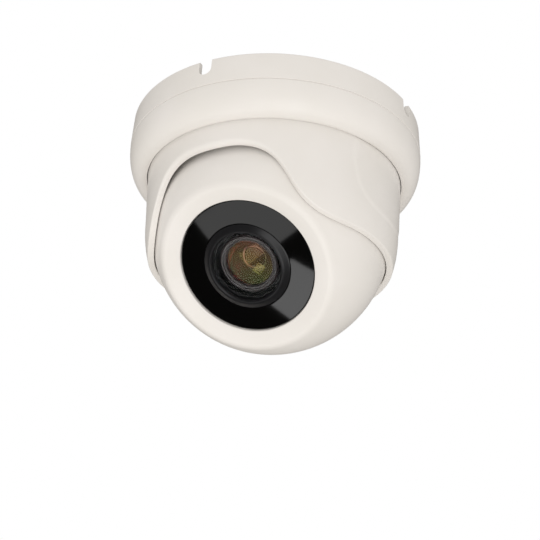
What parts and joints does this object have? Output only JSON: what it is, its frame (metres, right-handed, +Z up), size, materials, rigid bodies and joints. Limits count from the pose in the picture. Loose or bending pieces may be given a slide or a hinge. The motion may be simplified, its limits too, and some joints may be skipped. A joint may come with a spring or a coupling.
{
  "type": "dome cctv camera",
  "caption": "Ceiling turret security camera: notched round base, panning collar with an S-shaped edge, tilting ball and a varifocal lens in a black trim.",
  "frame": {"origin": "centre of the mounting face, on the ceiling", "axes": "+Z up into the ceiling; at rest the lens looks along -Y and down, 40.3 degrees from straight down"},
  "size_m": [0.1314, 0.1314, 0.1057],
  "materials": {
    "white_housing": "smooth satin, moulded",
    "black_gloss_trim": "polished black",
    "black_plastic": "moulded, fine matt",
    "black_rubber": "moulded rubber",
    "zinc_steel": "zinc-plated sheet",
    "stainless_steel": "turned",
    "brass": "turned",
    "acetal": "moulded",
    "nylon": "moulded",
    "black_aluminium": "black anodised",
    "clear_glass": "polished, anti-reflection coated",
    "coated_glass": "polished, multi-coated",
    "circuit_board": "green solder mask",
    "chip_resin": "moulded epoxy"
  },
  "bodies": {
    "base": {"base_cover": "white_housing", "mount_plate": "zinc_steel", "plate_gasket": "black_rubber", "cover_screw_1": "stainless_steel", "cover_screw_2": "stainless_steel", "cover_screw_3": "stainless_steel", "glide_ring": "acetal"},
    "collar": {"collar_shell": "white_housing", "retaining_ring": "zinc_steel", "retaining_screw_1": "stainless_steel", "retaining_screw_2": "stainless_steel", "retaining_screw_3": "stainless_steel", "swivel_seal": "black_rubber", "pivot_screw_left": "stainless_steel", "pivot_screw_right": "stainless_steel"},
    "ball": {"ball_front_shell": "white_housing", "ball_rear_shell": "white_housing", "ball_seal": "black_rubber", "shell_screw_1": "stainless_steel", "shell_screw_2": "stainless_steel", "shell_screw_3": "stainless_steel", "pivot_bush_left": "nylon", "pivot_bush_right": "nylon", "front_trim": "black_gloss_trim", "trim_gasket": "black_rubber", "front_glass": "clear_glass", "glass_seal": "black_rubber", "bracket": "zinc_steel", "bracket_screw_1": "stainless_steel", "bracket_screw_2": "stainless_steel", "bracket_screw_3": "stainless_steel", "cable_grommet": "black_rubber"},
    "lens_module": {"lens_carrier": "black_plastic", "carrier_clip": "black_plastic", "sensor_board": "circuit_board", "main_board": "circuit_board", "board_spacer_1": "brass", "board_spacer_2": "brass", "board_spacer_3": "brass", "board_spacer_4": "brass", "image_sensor": "chip_resin", "processor": "chip_resin", "board_connector": "nylon", "lens_mount": "black_plastic", "filter_coil": "black_plastic", "lens_barrel": "black_aluminium", "iris_plate": "black_plastic", "rear_lens": "coated_glass"},
    "filter_slide": {"filter_frame": "black_plastic", "ir_cut_filter": "coated_glass", "clear_filter": "clear_glass"},
    "zoom_ring": {"zoom_ring": "black_plastic"},
    "zoom_lock": {"zoom_lever": "stainless_steel"},
    "zoom_group": {"zoom_cell": "black_plastic", "zoom_lens": "coated_glass"},
    "focus_ring": {"focus_ring": "black_plastic"},
    "focus_lock": {"focus_lever": "stainless_steel"},
    "focus_group": {"front_cell": "black_aluminium", "front_lens": "coated_glass"}
  },
  "joints": [
    {"name": "pan", "type": "hinge", "parent": "base", "child": "collar", "pos_m": [0, 0, 0], "axis": [0, 0, 1], "range_deg": [-175, 175]},
    {"name": "tilt", "type": "hinge", "parent": "collar", "child": "ball", "pos_m": [0, 0, -0.0533], "axis": [-1, 0, 0], "range_deg": [-40, 25]},
    {"name": "image_rotate", "type": "hinge", "parent": "ball", "child": "lens_module", "pos_m": [0, 0, -0.0533], "axis": [0, -0.6468, -0.7627], "range_deg": [-90, 90]},
    {"name": "filter_shift", "type": "slide", "parent": "lens_module", "child": "filter_slide", "axis": [-1, 0, 0], "range_m": [0, 0.0096]},
    {"name": "zoom_turn", "type": "hinge", "parent": "lens_module", "child": "zoom_ring", "pos_m": [0, -0.01261, -0.06817], "axis": [0, -0.6468, -0.7627], "range_deg": [0, 80]},
    {"name": "zoom_lock_turn", "type": "hinge", "parent": "zoom_ring", "child": "zoom_lock", "pos_m": [0, -0.01261, -0.06817], "axis": [0, -0.7627, 0.6468], "range_deg": [0, 180]},
    {"name": "zoom_travel", "type": "slide", "parent": "lens_module", "child": "zoom_group", "axis": [0, 0.6468, 0.7627], "range_m": [0, 0.003]},
    {"name": "focus_turn", "type": "hinge", "parent": "lens_module", "child": "focus_ring", "pos_m": [0, -0.01565, -0.07176], "axis": [0, -0.6468, -0.7627], "range_deg": [0, 80]},
    {"name": "focus_lock_turn", "type": "hinge", "parent": "focus_ring", "child": "focus_lock", "pos_m": [0, -0.01565, -0.07176], "axis": [0.5, -0.6605, 0.5601], "range_deg": [0, 180]},
    {"name": "focus_travel", "type": "slide", "parent": "lens_module", "child": "focus_group", "axis": [0, 0.6468, 0.7627], "range_m": [0, 0.0025]}
  ],
  "couplings": [
    {"joint": "zoom_turn", "follows": "zoom_travel", "rad_per_m": 465.4},
    {"joint": "focus_turn", "follows": "focus_travel", "rad_per_m": 558.5}
  ]
}
